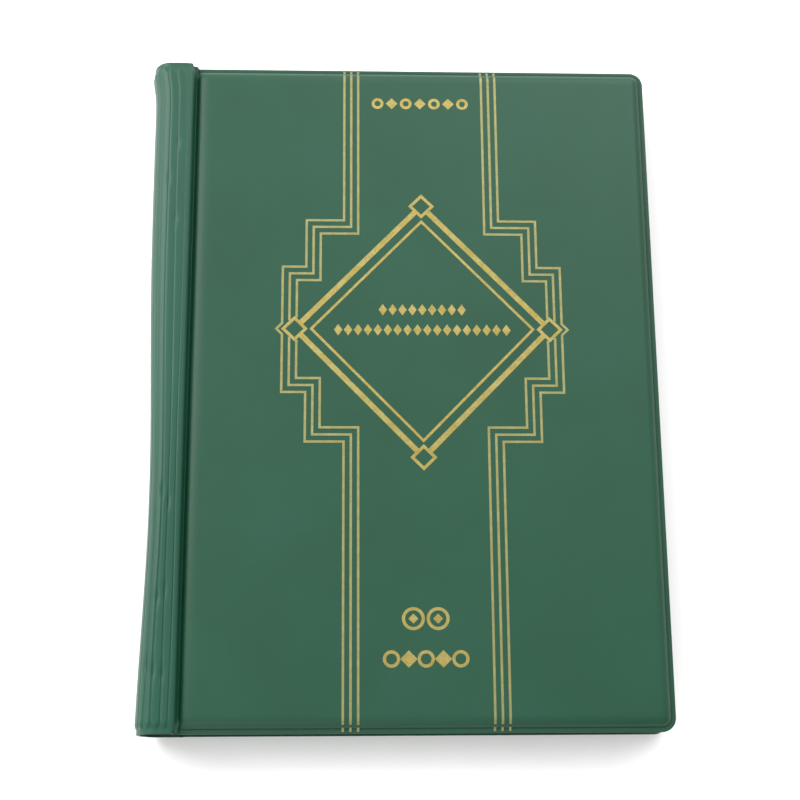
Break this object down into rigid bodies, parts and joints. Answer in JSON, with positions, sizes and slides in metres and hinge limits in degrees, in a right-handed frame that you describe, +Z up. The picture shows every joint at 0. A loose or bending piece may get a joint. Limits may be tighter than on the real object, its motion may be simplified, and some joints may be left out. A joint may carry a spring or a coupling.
{
  "type": "coin album",
  "caption": "Closed padded-cover pocket album with a soft rolled spine, hinged covers, clear coin-pocket leaves that fan out, and gold foil line ornament.",
  "frame": {"origin": "centre of the closed album's footprint, on the surface that it lies on", "axes": "+X from the spine to the fore-edge, +Y from tail to head, +Z up through the front cover"},
  "size_m": [0.15, 0.2, 0.0201],
  "materials": {
    "cover_film": "semi-gloss moulded PVC film, fine grain",
    "spine_film": "semi-gloss PVC film, heat-welded grooves",
    "lining_film": "matt PVC film",
    "greyboard": "pressed grey paperboard",
    "foam": "open-cell foam pad",
    "clear_film": "clear flexible PVC film",
    "gold_foil": "hot-stamped foil"
  },
  "bodies": {
    "back_cover": {"back_cover_skin": "cover_film", "back_cover_foam": "foam", "back_cover_board": "greyboard", "back_cover_lining": "lining_film"},
    "front_cover": {"front_cover_skin": "cover_film", "front_cover_foam": "foam", "front_cover_board": "greyboard", "front_cover_lining": "lining_film", "foil_border_lines": "gold_foil", "foil_diamond": "gold_foil", "foil_title_ornament": "gold_foil", "foil_centre_ornament": "gold_foil", "foil_foot_ornament": "gold_foil"},
    "spine": {"spine_skin": "spine_film", "spine_lining": "lining_film", "front_hinge_strip": "cover_film", "back_hinge_strip": "cover_film", "leaf_01_margin": "clear_film", "leaf_02_margin": "clear_film", "leaf_03_margin": "clear_film", "leaf_04_margin": "clear_film", "leaf_05_margin": "clear_film", "leaf_06_margin": "clear_film", "leaf_07_margin": "clear_film", "leaf_08_margin": "clear_film", "leaf_09_margin": "clear_film", "leaf_10_margin": "clear_film"},
    "leaf_01": {"leaf_01_film": "clear_film", "leaf_01_pockets": "clear_film", "leaf_01_flaps": "clear_film"},
    "leaf_02": {"leaf_02_film": "clear_film", "leaf_02_pockets": "clear_film", "leaf_02_flaps": "clear_film"},
    "leaf_03": {"leaf_03_film": "clear_film", "leaf_03_pockets": "clear_film", "leaf_03_flaps": "clear_film"},
    "leaf_04": {"leaf_04_film": "clear_film", "leaf_04_pockets": "clear_film", "leaf_04_flaps": "clear_film"},
    "leaf_05": {"leaf_05_film": "clear_film", "leaf_05_pockets": "clear_film", "leaf_05_flaps": "clear_film"},
    "leaf_06": {"leaf_06_film": "clear_film", "leaf_06_pockets": "clear_film", "leaf_06_flaps": "clear_film"},
    "leaf_07": {"leaf_07_film": "clear_film", "leaf_07_pockets": "clear_film", "leaf_07_flaps": "clear_film"},
    "leaf_08": {"leaf_08_film": "clear_film", "leaf_08_pockets": "clear_film", "leaf_08_flaps": "clear_film"},
    "leaf_09": {"leaf_09_film": "clear_film", "leaf_09_pockets": "clear_film", "leaf_09_flaps": "clear_film"},
    "leaf_10": {"leaf_10_film": "clear_film", "leaf_10_pockets": "clear_film", "leaf_10_flaps": "clear_film"}
  },
  "joints": [
    {"name": "back_cover_hinge", "type": "hinge", "parent": "back_cover", "child": "spine", "pos_m": [-0.0623, 0, 0.0008], "axis": [0, -1, 0], "range_deg": [0, 90]},
    {"name": "front_cover_hinge", "type": "hinge", "parent": "spine", "child": "front_cover", "pos_m": [-0.0623, 0, 0.0173], "axis": [0, -1, 0], "range_deg": [0, 90]},
    {"name": "leaf_01_turn", "type": "hinge", "parent": "spine", "child": "leaf_01", "pos_m": [-0.0623, 0, 0.0163], "axis": [0, -1, 0], "range_deg": [0, 76.5]},
    {"name": "leaf_02_turn", "type": "hinge", "parent": "spine", "child": "leaf_02", "pos_m": [-0.0623, 0, 0.01463], "axis": [0, -1, 0], "range_deg": [0, 59.4]},
    {"name": "leaf_03_turn", "type": "hinge", "parent": "spine", "child": "leaf_03", "pos_m": [-0.0623, 0, 0.01297], "axis": [0, -1, 0], "range_deg": [0, 42.3]},
    {"name": "leaf_04_turn", "type": "hinge", "parent": "spine", "child": "leaf_04", "pos_m": [-0.0623, 0, 0.0113], "axis": [0, -1, 0], "range_deg": [0, 25.2]},
    {"name": "leaf_05_turn", "type": "hinge", "parent": "spine", "child": "leaf_05", "pos_m": [-0.0623, 0, 0.00963], "axis": [0, -1, 0], "range_deg": [0, 8.1]},
    {"name": "leaf_06_turn", "type": "hinge", "parent": "spine", "child": "leaf_06", "pos_m": [-0.0623, 0, 0.00797], "axis": [0, -1, 0], "range_deg": [-8.1, 0]},
    {"name": "leaf_07_turn", "type": "hinge", "parent": "spine", "child": "leaf_07", "pos_m": [-0.0623, 0, 0.0063], "axis": [0, -1, 0], "range_deg": [-25.2, 0]},
    {"name": "leaf_08_turn", "type": "hinge", "parent": "spine", "child": "leaf_08", "pos_m": [-0.0623, 0, 0.00463], "axis": [0, -1, 0], "range_deg": [-42.3, 0]},
    {"name": "leaf_09_turn", "type": "hinge", "parent": "spine", "child": "leaf_09", "pos_m": [-0.0623, 0, 0.00297], "axis": [0, -1, 0], "range_deg": [-59.4, 0]},
    {"name": "leaf_10_turn", "type": "hinge", "parent": "spine", "child": "leaf_10", "pos_m": [-0.0623, 0, 0.0013], "axis": [0, -1, 0], "range_deg": [-76.5, 0]}
  ],
  "couplings": [
    {"joint": "leaf_01_turn", "follows": "front_cover_hinge", "ratio": 0.85},
    {"joint": "leaf_02_turn", "follows": "front_cover_hinge", "ratio": 0.66},
    {"joint": "leaf_03_turn", "follows": "front_cover_hinge", "ratio": 0.47},
    {"joint": "leaf_04_turn", "follows": "front_cover_hinge", "ratio": 0.28},
    {"joint": "leaf_05_turn", "follows": "front_cover_hinge", "ratio": 0.09},
    {"joint": "leaf_06_turn", "follows": "back_cover_hinge", "ratio": -0.09},
    {"joint": "leaf_07_turn", "follows": "back_cover_hinge", "ratio": -0.28},
    {"joint": "leaf_08_turn", "follows": "back_cover_hinge", "ratio": -0.47},
    {"joint": "leaf_09_turn", "follows": "back_cover_hinge", "ratio": -0.66},
    {"joint": "leaf_10_turn", "follows": "back_cover_hinge", "ratio": -0.85}
  ]
}
